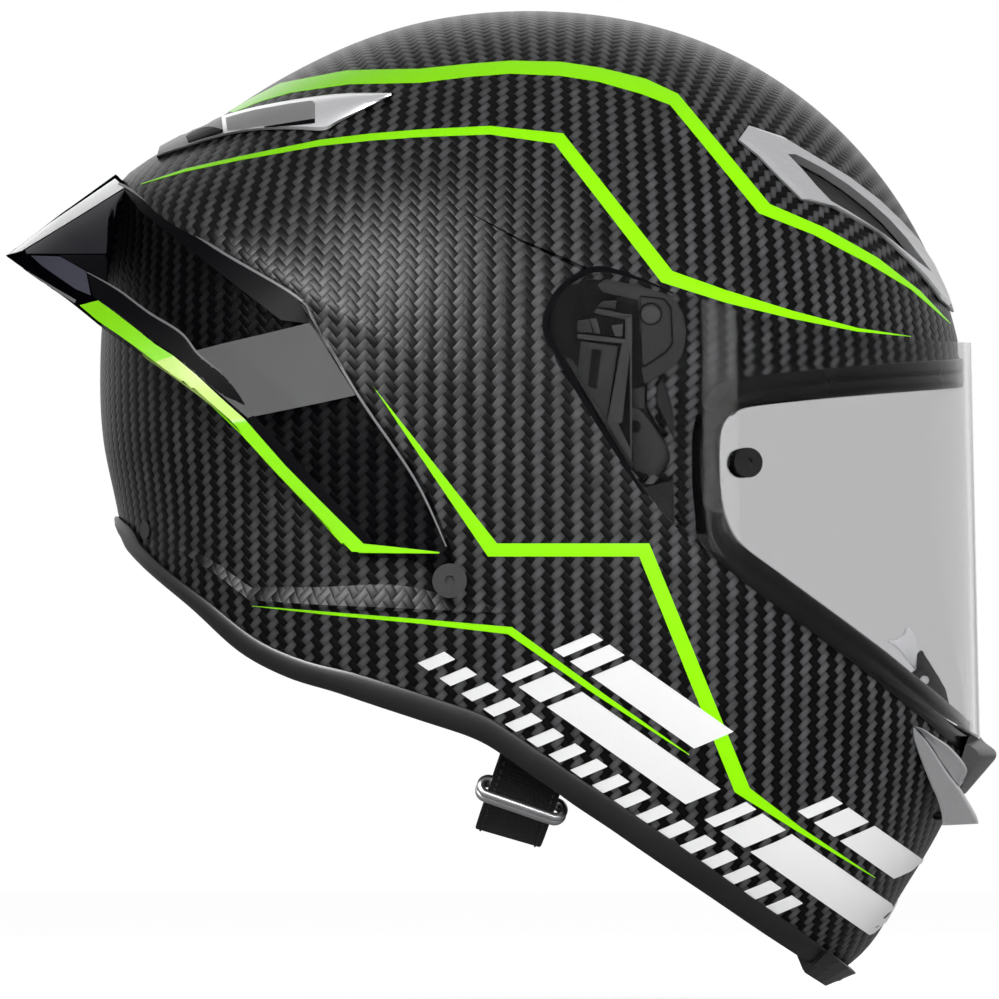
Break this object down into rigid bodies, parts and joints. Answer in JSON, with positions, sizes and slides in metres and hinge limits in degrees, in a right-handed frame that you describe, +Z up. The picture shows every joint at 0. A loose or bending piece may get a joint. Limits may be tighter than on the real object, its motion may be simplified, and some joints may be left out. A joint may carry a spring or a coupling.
{
  "type": "full face motorcycle helmet",
  "caption": "Full face motorcycle helmet with a carbon weave shell, a hinged clear visor, a smoked rear spoiler, vents, a padded liner and a chin strap.",
  "frame": {"origin": "the middle of the head, between the ears, inside the padded liner", "axes": "+X forward through the eye port, +Y to the wearer's left, +Z up, with the helmet in the attitude in which it is worn"},
  "size_m": [0.3465, 0.2602, 0.3411],
  "materials": {
    "carbon_shell": "clear-coated twill weave",
    "silver_trim": "satin metallic",
    "black_trim": "satin moulded",
    "gloss_black": "gloss",
    "seal_rubber": "smooth extruded",
    "smoke_spoiler": "smoked clear, gloss",
    "visor_clear": "clear hard-coated",
    "liner_fabric": "knit mesh",
    "foam": "moulded bead foam",
    "webbing": "woven webbing",
    "steel": "satin"
  },
  "bodies": {
    "helmet": {"outer_shell": "carbon_shell", "impact_liner": "foam", "chin_liner": "foam", "crown_liner": "liner_fabric", "cheek_pad_right": "liner_fabric", "cheek_pad_left": "liner_fabric", "neck_roll": "liner_fabric", "rim_trim": "black_trim", "rim_front_cap": "black_trim", "port_seal": "seal_rubber", "spoiler": "smoke_spoiler", "spoiler_screws": "black_trim", "rear_plugs": "black_trim", "crown_vent_frame_right": "silver_trim", "crown_vent_frame_left": "silver_trim", "crown_vent_grille_right": "black_trim", "crown_vent_grille_left": "black_trim", "rear_vent_frame": "silver_trim", "rear_vent_grilles": "black_trim", "chin_vent_fin_right": "silver_trim", "chin_vent_fin_left": "silver_trim", "chin_vent_cover": "gloss_black", "pivot_base_right": "black_trim", "pivot_base_left": "black_trim", "pivot_base_screws": "steel", "visor_lock_base": "black_trim", "strap_anchors": "steel"},
    "visor_shield": {"visor": "visor_clear", "tear_off_post_right": "gloss_black", "tear_off_post_left": "gloss_black"},
    "release_right": {"release_lever_right": "black_trim"},
    "release_left": {"release_lever_left": "black_trim"},
    "visor_lock": {"visor_lock_lever": "silver_trim"},
    "strap": {"chin_strap": "webbing", "d_rings": "steel", "strap_snap": "steel"}
  },
  "joints": [
    {"name": "visor_hinge", "type": "hinge", "parent": "helmet", "child": "visor_shield", "pos_m": [0.0348, 0, 0.0428], "axis": [0, -1, 0], "range_deg": [0, 45]},
    {"name": "release_right_hinge", "type": "hinge", "parent": "helmet", "child": "release_right", "pos_m": [0.014, -0.1165, 0.046], "axis": [0, -1, 0], "range_deg": [0, 6], "stiffness_Nm_per_rad": 0.05},
    {"name": "release_left_hinge", "type": "hinge", "parent": "helmet", "child": "release_left", "pos_m": [0.014, 0.1165, 0.046], "axis": [0, -1, 0], "range_deg": [0, 6], "stiffness_Nm_per_rad": 0.05},
    {"name": "visor_lock_hinge", "type": "hinge", "parent": "helmet", "child": "visor_lock", "pos_m": [0.131, 0, -0.084], "axis": [0, 1, 0], "range_deg": [0, 10], "stiffness_Nm_per_rad": 0.08},
    {"name": "strap_swing", "type": "hinge", "parent": "helmet", "child": "strap", "pos_m": [-0.008, 0, -0.072], "axis": [0, -1, 0], "range_deg": [-8, 12]}
  ]
}
